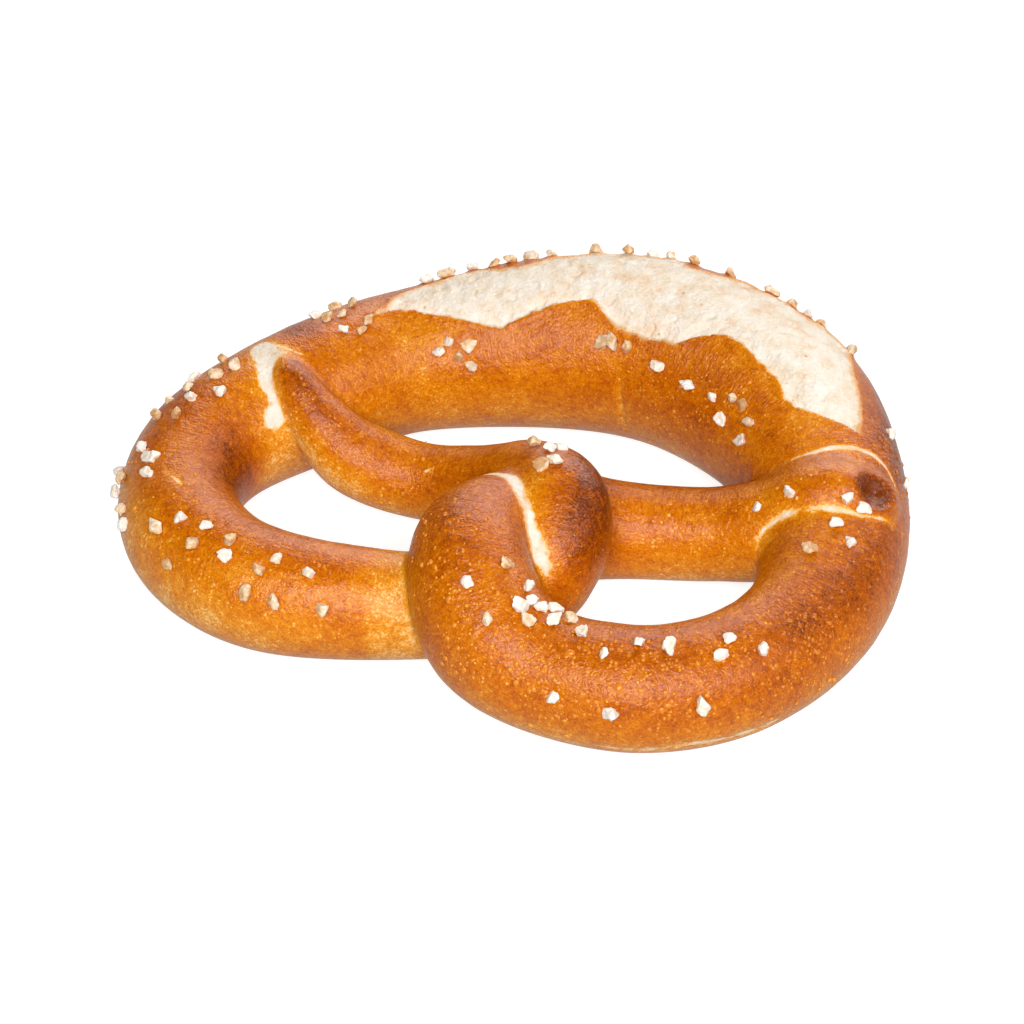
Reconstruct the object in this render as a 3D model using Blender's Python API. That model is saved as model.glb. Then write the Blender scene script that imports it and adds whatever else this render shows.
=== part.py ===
"""Soft pretzel with a split belly, modelled as one solid.

One rope of dough, thick in the middle and thin at its ends, lies in a loop. Its two arms cross twice in front of the
belly and end on top of the loop. The baked rope has a flat base where it lay on the tray, a shallow split along the
belly with a scalloped crust rim, and a dimple in its blunt right end.

Frame: metres, +Z up, the tray at z = 0, +Y from the two front lobes to the belly, +X across the width.
"""

import bmesh
import bpy
import math
from collections import namedtuple
from mathutils import Vector

MM = 0.001

# The rope. Its centre rides at SAG times its radius above the tray, because soft dough flattens where it rests, plus a
# lift where it lies on another strand.
SAG = 0.8
RING_SPACING = 4.6 * MM
STEPS_PER_STATION = 40
BEVEL_RESOLUTION = 10  # 24 sides
END_RINGS = 3

Station = namedtuple("Station", "x y radius lift")  # millimetres

# Every stretch of the rope, from the tip of the left arm to the blunt end of the right arm.
LEFT_ARM = (
    Station(-53.5, 5.5, 2.0, 22.5),
    Station(-50.0, 1.5, 4.0, 20.0),
    Station(-44.0, -1.5, 6.0, 13.0),
    Station(-35.5, -3.0, 8.0, 4.5),
    Station(-21.5, -2.0, 8.0, 1.0),
    Station(-8.0, -3.5, 8.0, 4.5),
)
OVER_THEN_UNDER = (
    Station(4.5, -8.0, 8.5, 11.0),
    Station(12.0, -16.0, 9.5, 13.5),
    Station(13.0, -23.5, 11.0, 7.0),
    Station(8.0, -31.5, 10.0, 1.0),
)
LEFT_LOBE = (
    Station(-10.5, -40.0, 10.5, 0.0),
    Station(-37.5, -45.5, 12.0, 0.0),
    Station(-56.0, -38.5, 12.5, 0.0),
    Station(-65.5, -23.5, 12.5, 0.0),
    Station(-63.5, -5.0, 13.5, 0.0),
    Station(-48.5, 16.0, 15.0, 0.0),
)
BELLY = (
    Station(-33.0, 31.0, 15.5, 0.0),
    Station(-3.5, 43.0, 18.5, 0.0),
    Station(20.5, 44.0, 19.5, 0.0),
    Station(43.5, 33.5, 19.0, 0.0),
    Station(57.5, 17.0, 16.5, 0.0),
)
RIGHT_LOBE = (
    Station(64.5, -3.0, 14.5, 0.0),
    Station(64.0, -23.5, 12.5, 0.0),
    Station(54.0, -41.0, 12.0, 0.0),
    Station(38.0, -50.5, 12.0, 0.0),
    Station(20.0, -51.5, 12.0, 0.5),
)
UP_AND_OVER = (
    Station(8.5, -48.0, 13.0, 3.5),
    Station(1.0, -38.5, 12.0, 10.0),
    Station(0.5, -27.0, 11.5, 9.0),
    Station(8.5, -13.0, 11.5, 2.5),
)
RIGHT_ARM = (
    Station(21.5, -5.5, 10.0, 0.0),
    Station(40.0, -2.5, 9.5, 1.5),
    Station(52.5, -1.5, 10.0, 5.0),
    Station(62.0, 0.0, 8.5, 14.5),
    Station(69.0, 1.5, 6.5, 15.5),
)
ROPE = LEFT_ARM + OVER_THEN_UNDER + LEFT_LOBE + BELLY + RIGHT_LOBE + UP_AND_OVER + RIGHT_ARM

# The split along the belly: where it starts and ends along the rope, how deep it is, and how far round the rope its
# two edges lie, in degrees from the crest. The front edge swings in scallops between them.
SPLIT_START = 247.0 * MM
SPLIT_END = 361.0 * MM
SPLIT_DEPTH = 1.1 * MM
SPLIT_OVERCUT = 2.0 * MM
SPLIT_FRONT_ANGLE = 40.0
SPLIT_FRONT_LEAN = 13.0  # how far the front edge comes back up towards the crest by the split's right end
SPLIT_SCALLOP_ANGLE = 9.0
SPLIT_SCALLOPS = 3.0
SPLIT_SCALLOP_PHASE = 0.24
SPLIT_BACK_ANGLE = -33.0
SPLIT_TAPER = 0.14
SPLIT_RINGS = 30
SPLIT_STRIPS = 8

# The dimple in the blunt end of the right arm.
DIMPLE_RADIUS = 4.0 * MM
DIMPLE_DEPTH = 1.2 * MM

TRAY_SIZE = 220.0 * MM
TRAY_THICKNESS = 30.0 * MM

CRUST_COLOUR = (0.42, 0.12, 0.012, 1.0)
CRUST_ROUGHNESS = 0.32


def clear_scene():
    """Remove every object of the scene."""
    for scene_object in list(bpy.data.objects):
        bpy.data.objects.remove(scene_object, do_unlink=True)


def new_collection(name):
    """Add a collection under the scene's own."""
    collection = bpy.data.collections.new(name)
    bpy.context.scene.collection.children.link(collection)
    return collection


def new_object(name, mesh, collection):
    """Put a mesh in a collection as an object."""
    placed = bpy.data.objects.new(name, mesh)
    collection.objects.link(placed)
    return placed


def catmull_rom(before, start, end, after, t):
    """A value at t, from 0 at start to 1 at end, of the curve that runs through both."""
    linear = end - before
    square = 2.0 * before - 5.0 * start + 4.0 * end - after
    cube = -before + 3.0 * start - 3.0 * end + after
    return 0.5 * (2.0 * start + linear * t + square * t**2 + cube * t**3)


def station_vector(station):
    """A station as centre x, y, z and radius, in metres."""
    height = SAG * station.radius + station.lift
    return Vector((station.x, station.y, height, station.radius)) * MM


class Rope:
    """The rope's centre line: a point and a radius at every distance from the left tip."""

    def __init__(self, stations):
        knots = [station_vector(station) for station in stations]
        knots = [2.0 * knots[0] - knots[1], *knots, 2.0 * knots[-1] - knots[-2]]
        self.samples = []
        for i in range(1, len(knots) - 2):
            for step in range(STEPS_PER_STATION):
                self.samples.append(catmull_rom(*knots[i - 1 : i + 3], step / STEPS_PER_STATION))
        self.samples.append(knots[-2])
        self.distances = [0.0]
        for previous, sample in zip(self.samples, self.samples[1:]):
            step_length = (sample.xyz - previous.xyz).length
            self.distances.append(self.distances[-1] + step_length)
        self.length = self.distances[-1]

    def at(self, distance):
        """Centre and radius at a distance along the rope."""
        distance = min(max(distance, 0.0), self.length)
        upper = next(i for i, value in enumerate(self.distances) if value >= distance)
        lower = max(upper - 1, 0)
        span = self.distances[upper] - self.distances[lower]
        share = (distance - self.distances[lower]) / span if span else 0.0
        sample = self.samples[lower].lerp(self.samples[upper], share)
        return sample.xyz, sample.w

    def tangent(self, distance):
        """Direction of the rope, from the left tip to the right end."""
        reach = 0.5 * MM
        return (self.at(distance + reach)[0] - self.at(distance - reach)[0]).normalized()

    def surface(self, distance, degrees, offset=0.0):
        """A point on the rope's skin, degrees round from its crest towards the middle of the pretzel."""
        centre, radius = self.at(distance)
        along = self.tangent(distance)
        crest = (Vector((0.0, 0.0, 1.0)) - along * along.z).normalized()
        inward = along.cross(crest)
        angle = math.radians(degrees)
        return centre + (crest * math.cos(angle) + inward * math.sin(angle)) * (radius + offset)

    def rings(self):
        """Centres and radii of the tube's rings, with both ends rounded off."""
        count = round(self.length / RING_SPACING)
        rings = [self.at(self.length * i / count) for i in range(count + 1)]
        return self.rounded_end(0.0, -1.0)[::-1] + rings + self.rounded_end(self.length, 1.0)

    def rounded_end(self, distance, direction):
        """Rings of the half ball that closes an end of the rope."""
        centre, radius = self.at(distance)
        outward = self.tangent(distance) * direction
        rings = []
        for i in range(1, END_RINGS + 1):
            angle = 0.5 * math.pi * i / (END_RINGS + 0.5)
            rings.append((centre + outward * radius * math.sin(angle), radius * math.cos(angle)))
        return rings


def make_tube(name, rings, collection):
    """A tube with filled caps along rings of (centre, radius), as a welded mesh object."""
    curve = bpy.data.curves.new(name, "CURVE")
    curve.dimensions = "3D"
    curve.bevel_depth = MM
    curve.bevel_resolution = BEVEL_RESOLUTION
    curve.use_fill_caps = True
    spline = curve.splines.new("POLY")
    spline.points.add(len(rings) - 1)
    for point, (centre, radius) in zip(spline.points, rings):
        point.co = (*centre, 1.0)
        point.radius = radius / MM
    guide = new_object(name + "_curve", curve, collection)
    depsgraph = bpy.context.evaluated_depsgraph_get()
    mesh = bpy.data.meshes.new_from_object(guide.evaluated_get(depsgraph))
    mesh.name = name
    tube = new_object(name, mesh, collection)
    tube.matrix_world = guide.matrix_world
    bpy.data.objects.remove(guide, do_unlink=True)
    bpy.data.curves.remove(curve)
    editable = bmesh.new()
    editable.from_mesh(mesh)
    bmesh.ops.remove_doubles(editable, verts=editable.verts, dist=0.01 * MM)
    bmesh.ops.recalc_face_normals(editable, faces=editable.faces)
    editable.to_mesh(mesh)
    editable.free()
    return tube


def split_edges(share):
    """Front and back edge of the split, in degrees, at a share of its length."""
    closing = min(1.0, share / SPLIT_TAPER, (1.0 - share) / SPLIT_TAPER)
    closing = math.sin(0.5 * math.pi * max(closing, 0.02))
    wave = math.cos(2.0 * math.pi * (SPLIT_SCALLOPS * share - SPLIT_SCALLOP_PHASE))
    front = SPLIT_FRONT_ANGLE - SPLIT_FRONT_LEAN * share - SPLIT_SCALLOP_ANGLE * wave
    middle = 0.5 * (front + SPLIT_BACK_ANGLE)
    return middle + (front - middle) * closing, middle + (SPLIT_BACK_ANGLE - middle) * closing


def make_split_cutter(rope, collection):
    """The skin that the split takes off: a curved plate between the split's edges, lofted along the belly."""
    editable = bmesh.new()
    loops = []
    for i in range(SPLIT_RINGS + 1):
        share = i / SPLIT_RINGS
        distance = SPLIT_START + share * (SPLIT_END - SPLIT_START)
        front, back = split_edges(share)
        angles = [front + (back - front) * j / SPLIT_STRIPS for j in range(SPLIT_STRIPS + 1)]
        outer = [rope.surface(distance, angle, SPLIT_OVERCUT) for angle in angles]
        inner = [rope.surface(distance, angle, -SPLIT_DEPTH) for angle in reversed(angles)]
        loops.append([editable.verts.new(point) for point in outer + inner])
    for loop, following in zip(loops, loops[1:]):
        for j in range(len(loop)):
            k = (j + 1) % len(loop)
            editable.faces.new((loop[j], loop[k], following[k], following[j]))
    for end in (loops[0], loops[-1]):
        for j in range(SPLIT_STRIPS):
            editable.faces.new((end[j], end[j + 1], end[-2 - j], end[-1 - j]))
    bmesh.ops.recalc_face_normals(editable, faces=editable.faces)
    mesh = bpy.data.meshes.new("split_cutter")
    editable.to_mesh(mesh)
    editable.free()
    return new_object("split_cutter", mesh, collection)


def make_dimple_cutter(rope, collection):
    """The ball that dents the blunt end of the right arm."""
    centre, radius = rope.at(rope.length)
    direction = (rope.tangent(rope.length) + Vector((0.0, 0.0, 0.6))).normalized()
    reach = radius + DIMPLE_RADIUS - DIMPLE_DEPTH
    mesh = bpy.data.meshes.new("dimple_cutter")
    editable = bmesh.new()
    bmesh.ops.create_uvsphere(editable, u_segments=16, v_segments=10, radius=DIMPLE_RADIUS)
    editable.to_mesh(mesh)
    editable.free()
    cutter = new_object("dimple_cutter", mesh, collection)
    cutter.location = centre + direction * reach
    return cutter


def make_tray_cutter(collection):
    """The block under the tray's level that flattens the base."""
    mesh = bpy.data.meshes.new("tray_cutter")
    editable = bmesh.new()
    bmesh.ops.create_cube(editable, size=1.0)
    bmesh.ops.scale(editable, verts=editable.verts, vec=(TRAY_SIZE, TRAY_SIZE, TRAY_THICKNESS))
    editable.to_mesh(mesh)
    editable.free()
    cutter = new_object("tray_cutter", mesh, collection)
    cutter.location = (0.0, 0.0, -0.5 * TRAY_THICKNESS)
    return cutter


def cut(target, cutter, crossing_strands=False):
    """Take a cutter out of the target. With crossing strands, the target's own overlaps are joined as well."""
    cutter.hide_render = True
    cutter.display_type = "WIRE"
    modifier = target.modifiers.new(cutter.name, "BOOLEAN")
    modifier.operation = "DIFFERENCE"
    modifier.solver = "EXACT"
    modifier.use_self = crossing_strands
    modifier.object = cutter


def crust_material():
    """Glossy lye crust, baked chestnut brown."""
    material = bpy.data.materials.new("lye_crust")
    material.use_nodes = True
    shader = material.node_tree.nodes["Principled BSDF"]
    shader.inputs["Base Color"].default_value = CRUST_COLOUR
    shader.inputs["Roughness"].default_value = CRUST_ROUGHNESS
    shader.inputs["Metallic"].default_value = 0.0
    return material


def build():
    """Build the pretzel."""
    clear_scene()
    parts = new_collection("soft_pretzel")
    cutters = new_collection("cutters")
    rope = Rope(ROPE)
    pretzel = make_tube("pretzel", rope.rings(), parts)
    pretzel.data.materials.append(crust_material())
    pretzel.data.shade_smooth()
    cut(pretzel, make_tray_cutter(cutters), crossing_strands=True)
    cut(pretzel, make_split_cutter(rope, cutters))
    cut(pretzel, make_dimple_cutter(rope, cutters))


build()
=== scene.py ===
"""Looks of a soft pretzel: a lye-dipped rope of dough, baked with a split belly and coarse salt.

The dough is one closed mesh that stands for the CAD solid: the same rope of stations, blended where strands
lie on each other, with the torn split, the pale seams, the creases and the dents that baking gives it. The
salt crystals and the crust's blisters are pieces of their own. Lengths are millimetres until a mesh is
written, and +Z is up.

Places on the rope are given as (along, around): millimetres from the left arm's tip, and degrees round the
rope from its crest, positive towards the inside of the loop, which on the two arms is the front.
"""

import logging
import math
from dataclasses import dataclass, field
from enum import Enum

import bpy
import numpy as np
from mathutils import Matrix, Vector, noise


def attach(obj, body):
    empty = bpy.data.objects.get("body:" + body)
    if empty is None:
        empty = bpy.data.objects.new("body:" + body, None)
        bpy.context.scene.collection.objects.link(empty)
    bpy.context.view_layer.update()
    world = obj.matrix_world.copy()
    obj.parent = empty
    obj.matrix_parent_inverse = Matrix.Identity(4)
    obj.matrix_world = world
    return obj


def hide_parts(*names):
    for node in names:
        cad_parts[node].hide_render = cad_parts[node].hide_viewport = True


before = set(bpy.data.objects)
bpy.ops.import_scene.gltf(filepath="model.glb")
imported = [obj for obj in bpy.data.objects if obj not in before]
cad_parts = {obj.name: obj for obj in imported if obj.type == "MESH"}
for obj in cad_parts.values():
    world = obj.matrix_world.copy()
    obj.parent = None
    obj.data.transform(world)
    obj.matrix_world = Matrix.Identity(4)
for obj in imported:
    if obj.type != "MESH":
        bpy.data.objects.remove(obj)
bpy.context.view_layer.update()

logging.basicConfig(level=logging.INFO, format="%(message)s")
log = logging.getLogger("pretzel")

MM = 0.001
FAR = 100.0  # stands for a distance beyond any that matters
NO_LENGTH = 1e-9  # keeps a division by a length from failing
CUT_THRESHOLD = 1e-5  # how near a bisecting plane a vertex counts as on it
BODY = "root"

Place = tuple[float, float]
Wave = tuple[float, float, float]  # wavelength, height and seed of one noise
Array = np.ndarray
Piece = bpy.types.Object
Mesh = bpy.types.Mesh
Material = bpy.types.Material
Tree = bpy.types.NodeTree
Socket = bpy.types.NodeSocket


class Slot(Enum):
    """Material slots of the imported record."""

    CRUST = "crust"
    SALT = "salt"


class Side(Enum):
    """The two edges of the split."""

    FRONT = "front"
    BACK = "back"


# ------------------------------------------------------------------------
# Small tools


def linear(colour: str, alpha: float = 1.0) -> tuple[float, float, float, float]:
    """Turn an sRGB hex colour into linear values.

    Args:
        colour: Six hex digits.
        alpha: Fourth value of the result.

    Returns:
        Linear red, green, blue and alpha.
    """
    channels = [int(colour[i : i + 2], 16) / 255.0 for i in (0, 2, 4)]
    straight = [c / 12.92 if c <= 0.04045 else ((c + 0.055) / 1.055) ** 2.4 for c in channels]
    return (*straight, alpha)


def deselect() -> None:
    """Leave nothing selected, in object mode."""
    if bpy.context.object and bpy.context.object.mode != "OBJECT":
        bpy.ops.object.mode_set(mode="OBJECT")
    bpy.ops.object.select_all(action="DESELECT")


def activate(piece: Piece) -> None:
    """Make a piece the only selected and the active object."""
    deselect()
    piece.select_set(True)
    bpy.context.view_layer.objects.active = piece


def apply_modifier(piece: Piece, kind: str, **settings: object) -> None:
    """Add a modifier to a piece and apply it.

    Args:
        piece: The mesh object.
        kind: Blender's type name of the modifier.
        settings: The modifier's properties.
    """
    activate(piece)
    modifier = piece.modifiers.new(kind.lower(), kind)
    for name, value in settings.items():
        setattr(modifier, name, value)
    bpy.ops.object.modifier_apply(modifier=modifier.name)


def weld_all(distance: float) -> None:
    """Merge the doubles of the mesh in edit mode, and point its faces outward."""
    bpy.ops.mesh.select_all(action="SELECT")
    bpy.ops.mesh.remove_doubles(threshold=distance * MM)
    bpy.ops.mesh.normals_make_consistent(inside=False)


def copy_to(model: Piece, name: str, stand: Matrix, attribute: str, value: float) -> Piece:
    """Copy a model to its place.

    Args:
        model: The object to copy.
        name: The copy's name.
        stand: Where the copy goes, applied to its mesh.
        attribute: A number that the material reads.
        value: Its value all over the copy.

    Returns:
        The copy, with its place in its mesh.
    """
    mesh = model.data.copy()
    mesh.transform(stand)
    write_attribute(mesh, attribute, np.full(len(mesh.vertices), value))
    copy = bpy.data.objects.new(name, mesh)
    bpy.context.collection.objects.link(copy)
    return copy


def join_copies(copies: list[Piece], name: str) -> Piece:
    """Join copies into one piece of that name."""
    activate(copies[0])
    for copy in copies:
        copy.select_set(True)
    bpy.ops.object.join()
    joined = bpy.context.object
    joined.name = name
    return joined


def read_points(mesh: Mesh) -> Array:
    """Vertex places of a mesh, in millimetres."""
    flat = np.empty(len(mesh.vertices) * 3, np.float32)
    mesh.vertices.foreach_get("co", flat)
    return flat.reshape(-1, 3).astype(float) / MM


def write_points(mesh: Mesh, points: Array) -> None:
    """Move the vertices of a mesh to places in millimetres."""
    mesh.vertices.foreach_set("co", (points * MM).astype(np.float32).ravel())
    mesh.update()


def write_attribute(mesh: Mesh, name: str, values: Array) -> None:
    """Store one number or one vector for each vertex under a name that the materials read."""
    kind = "FLOAT_VECTOR" if values.ndim == 2 else "FLOAT"
    attribute = mesh.attributes.new(name, kind, "POINT")
    key = "vector" if values.ndim == 2 else "value"
    attribute.data.foreach_set(key, values.astype(np.float32).ravel())


def smooth_step(values: Array, start: float, end: float) -> Array:
    """Rise smoothly from 0 at start to 1 at end."""
    share = np.clip((values - start) / (end - start), 0.0, 1.0)
    return share * share * (3.0 - 2.0 * share)


def bump(distances: Array, reach: float) -> Array:
    """A round hill: 1 at distance 0, falling smoothly to 0 at reach."""
    share = np.clip(1.0 - (distances / reach) ** 2, 0.0, 1.0)
    return share * share


def ripple(points: Array, wavelength: float, seed: float = 0.0) -> Array:
    """Smooth noise of about -1 to 1 at each point.

    Args:
        points: Places in millimetres, one row each.
        wavelength: Rough distance between crests, in millimetres.
        seed: Shift that picks another pattern.

    Returns:
        One value for each point.
    """
    scaled = points / wavelength + seed
    return np.array([noise.noise(Vector(point)) for point in scaled.tolist()])


def ripples(points: Array, waves: tuple[Wave, ...]) -> Array:
    """Add up noises of several wavelengths at each point."""
    return sum(height * ripple(points, wavelength, seed) for wavelength, height, seed in waves)


def add_node(
    tree: Tree,
    kind: str,
    inputs: dict | None = None,
    stops: tuple | None = None,
    **settings: object,
) -> bpy.types.Node:
    """Add a shader node.

    Args:
        tree: The material's node tree.
        kind: Node type without the ShaderNode prefix.
        inputs: Value or linked socket for each input.
        stops: (position, hex colour) pairs of a colour ramp.
        settings: The node's properties.

    Returns:
        The new node.
    """
    added = tree.nodes.new("ShaderNode" + kind)
    for name, value in settings.items():
        setattr(added, name, value)
    for key, value in (inputs or {}).items():
        if isinstance(value, Socket):
            tree.links.new(value, added.inputs[key])
        else:
            added.inputs[key].default_value = value
    if stops:
        elements = added.color_ramp.elements
        while len(elements) < len(stops):
            elements.new(1.0)
        for element, (position, colour) in zip(elements, stops):
            element.position = position
            element.color = linear(colour)
    return added


def finish_piece(
    piece: Piece, material: Material, node: str | None = None
) -> None:
    """Dress a piece, seat it on its body and report it.

    Args:
        piece: The mesh object, at the origin.
        material: Its finish.
        node: The CAD node that it stands for, if any.
    """
    piece.data.materials.clear()
    piece.data.materials.append(material)
    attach(piece, BODY)
    if node:
        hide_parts(node)
    log.info("%s: %d faces, material %s", piece.name, len(piece.data.polygons), material.name)


# ------------------------------------------------------------------------
# The rope of dough


@dataclass(frozen=True)
class Station:
    """One place on the rope's centre line: x and y, radius, and lift where it lies on another strand."""

    x: float
    y: float
    radius: float
    lift: float


LEFT_ARM = (
    Station(-53.5, 5.5, 2.0, 22.5),
    Station(-50.0, 1.5, 4.0, 20.0),
    Station(-44.0, -1.5, 6.0, 13.0),
    Station(-35.5, -3.0, 8.0, 4.5),
    Station(-21.5, -2.0, 8.0, 1.0),
    Station(-8.0, -3.5, 8.0, 4.5),
)
OVER_THEN_UNDER = (
    Station(4.5, -8.0, 8.5, 11.0),
    Station(12.0, -16.0, 9.5, 13.5),
    Station(13.0, -23.5, 11.0, 7.0),
    Station(8.0, -31.5, 10.0, 1.0),
)
LEFT_LOBE = (
    Station(-10.5, -40.0, 10.5, 0.0),
    Station(-37.5, -45.5, 12.0, 0.0),
    Station(-56.0, -38.5, 12.5, 0.0),
    Station(-65.5, -23.5, 12.5, 0.0),
    Station(-63.5, -5.0, 13.5, 0.0),
    Station(-48.5, 16.0, 15.0, 0.0),
)
BELLY = (
    Station(-33.0, 31.0, 15.5, 0.0),
    Station(-3.5, 43.0, 18.5, 0.0),
    Station(20.5, 44.0, 19.5, 0.0),
    Station(43.5, 33.5, 19.0, 0.0),
    Station(57.5, 17.0, 16.5, 0.0),
)
RIGHT_LOBE = (
    Station(64.5, -3.0, 14.5, 0.0),
    Station(64.0, -23.5, 12.5, 0.0),
    Station(54.0, -41.0, 12.0, 0.0),
    Station(38.0, -50.5, 12.0, 0.0),
    Station(20.0, -51.5, 12.0, 0.5),
)
UP_AND_OVER = (
    Station(8.5, -48.0, 13.0, 3.5),
    Station(1.0, -38.5, 12.0, 10.0),
    Station(0.5, -27.0, 11.5, 9.0),
    Station(8.5, -13.0, 11.5, 2.5),
)
RIGHT_ARM = (
    Station(21.5, -5.5, 10.0, 0.0),
    Station(40.0, -2.5, 9.5, 1.5),
    Station(52.5, -1.5, 10.0, 5.0),
    Station(62.0, 0.0, 8.5, 14.5),
    Station(69.0, 1.5, 6.5, 15.5),
)
ROPE = LEFT_ARM + OVER_THEN_UNDER + LEFT_LOBE + BELLY + RIGHT_LOBE + UP_AND_OVER + RIGHT_ARM


@dataclass
class Rope:
    """The rope's centre line, sampled evenly, in the CAD part's frame."""

    stations: tuple[Station, ...] = ROPE
    sag: float = 0.8  # centre height as a share of the radius, because soft dough flattens where it rests
    samples: int = 60  # steps of the curve between two stations, before it is spaced evenly
    spacing: float = 0.5
    self_gap: float = 45.0  # rope nearer than this along itself is the same strand
    stride: int = 8  # steps of the first, rough search for the nearest place
    chunk: int = 8000  # points searched at a time, to save memory
    centres: Array = field(init=False)
    radii: Array = field(init=False)
    along: Array = field(init=False)
    tangents: Array = field(init=False)

    def __post_init__(self) -> None:
        """Sample the curve through the stations at even distances."""
        knots = np.array([(s.x, s.y, self.sag * s.radius + s.lift, s.radius) for s in self.stations])
        knots = np.vstack([2 * knots[0] - knots[1], knots, 2 * knots[-1] - knots[-2]])
        shares = np.linspace(0.0, 1.0, self.samples, endpoint=False)[:, None]
        runs = []
        for a, b, c, d in zip(knots, knots[1:], knots[2:], knots[3:]):
            square = 2 * a - 5 * b + 4 * c - d
            cube = -a + 3 * b - 3 * c + d
            runs.append(0.5 * (2 * b + (c - a) * shares + square * shares**2 + cube * shares**3))
        dense = np.vstack([*runs, knots[-2][None, :]])
        lengths = np.linalg.norm(np.diff(dense[:, :3], axis=0), axis=1)
        reached = np.concatenate([[0.0], np.cumsum(lengths)])
        count = round(reached[-1] / self.spacing)
        self.along = np.linspace(0.0, reached[-1], count + 1)
        self.centres = np.stack([np.interp(self.along, reached, dense[:, i]) for i in range(3)], axis=1)
        self.radii = np.interp(self.along, reached, dense[:, 3])
        tangents = np.gradient(self.centres, self.along, axis=0)
        self.tangents = tangents / np.linalg.norm(tangents, axis=1, keepdims=True)

    @property
    def length(self) -> float:
        """Length of the rope's centre line."""
        return float(self.along[-1])

    def at(self, along: Array) -> tuple[Array, Array, Array]:
        """Centre, radius and direction at distances along the rope."""
        centre = np.stack([np.interp(along, self.along, self.centres[:, i]) for i in range(3)], axis=1)
        direction = np.stack([np.interp(along, self.along, self.tangents[:, i]) for i in range(3)], axis=1)
        direction /= np.linalg.norm(direction, axis=1, keepdims=True)
        return centre, np.interp(along, self.along, self.radii), direction

    def cross_axes(self, direction: Array) -> tuple[Array, Array]:
        """Crest and inward directions across the rope."""
        up = np.array([0.0, 0.0, 1.0])
        crest = up - direction * direction[:, 2:3]
        crest /= np.linalg.norm(crest, axis=1, keepdims=True)
        return crest, np.cross(direction, crest)

    def surface(self, place: Place, offset: float = 0.0) -> tuple[Array, Array, Array]:
        """A place on the rope's skin.

        Args:
            place: (along, around) on the rope.
            offset: Height above the skin.

        Returns:
            The point, the outward direction and the direction along the rope.
        """
        centre, radius, direction = self.at(np.array([place[0]]))
        crest, inward = self.cross_axes(direction)
        angle = math.radians(place[1])
        outward = crest[0] * math.cos(angle) + inward[0] * math.sin(angle)
        return centre[0] + outward * (radius[0] + offset), outward, direction[0]

    def nearest(self, points: Array, barred: Array | None = None) -> tuple[Array, Array]:
        """Find where on the rope each point is nearest the skin.

        Args:
            points: Places in space.
            barred: For each point, a distance along the rope whose own strand is left out.

        Returns:
            Distance along the rope, and distance from its skin, negative inside.
        """
        found_along, found_gap = [], []
        stations = slice(None, None, self.stride)
        window = np.arange(-self.stride, self.stride + 1)
        squares = (self.centres[stations] ** 2).sum(axis=1)
        for start in range(0, len(points), self.chunk):
            batch = points[start : start + self.chunk]
            rows = np.arange(len(batch))
            apart = (batch**2).sum(axis=1)[:, None] + squares[None, :]
            apart -= 2.0 * batch @ self.centres[stations].T
            rough = np.sqrt(np.maximum(apart, 0.0)) - self.radii[None, stations]
            if barred is not None:
                own = barred[start : start + self.chunk, None]
                rough[np.abs(self.along[None, stations] - own) < self.self_gap] = FAR
            close = rough.argmin(axis=1) * self.stride
            indices = np.clip(close[:, None] + window[None, :], 0, len(self.along) - 1)
            gaps = np.linalg.norm(batch[:, None, :] - self.centres[indices], axis=2) - self.radii[indices]
            best = np.clip(gaps.argmin(axis=1), 1, len(window) - 2)
            before, middle, after = gaps[rows, best - 1], gaps[rows, best], gaps[rows, best + 1]
            bend = np.maximum(before - 2.0 * middle + after, NO_LENGTH)
            shift = np.clip(0.5 * (before - after) / bend, -1.0, 1.0)
            along = self.along[indices[rows, best]] + shift * self.spacing
            found_along.append(np.clip(along, 0.0, self.length))
            found_gap.append(middle - 0.25 * (before - after) * shift)
        return np.concatenate(found_along), np.concatenate(found_gap)

    def outward(self, points: Array, along: Array) -> Array:
        """Unit directions from the centre line, at distances along it, to points."""
        centre, _, _ = self.at(along)
        away = points - centre
        return away / np.maximum(np.linalg.norm(away, axis=1, keepdims=True), NO_LENGTH)

    def angles(self, points: Array, along: Array) -> Array:
        """Degrees round the rope from its crest at each point."""
        centre, _, direction = self.at(along)
        crest, inward = self.cross_axes(direction)
        away = points - centre
        return np.degrees(np.arctan2((away * inward).sum(axis=1), (away * crest).sum(axis=1)))


EDGE_WAVES = ((2.6, 1.0, 51.0), (1.1, 0.5, 57.0))


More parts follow.
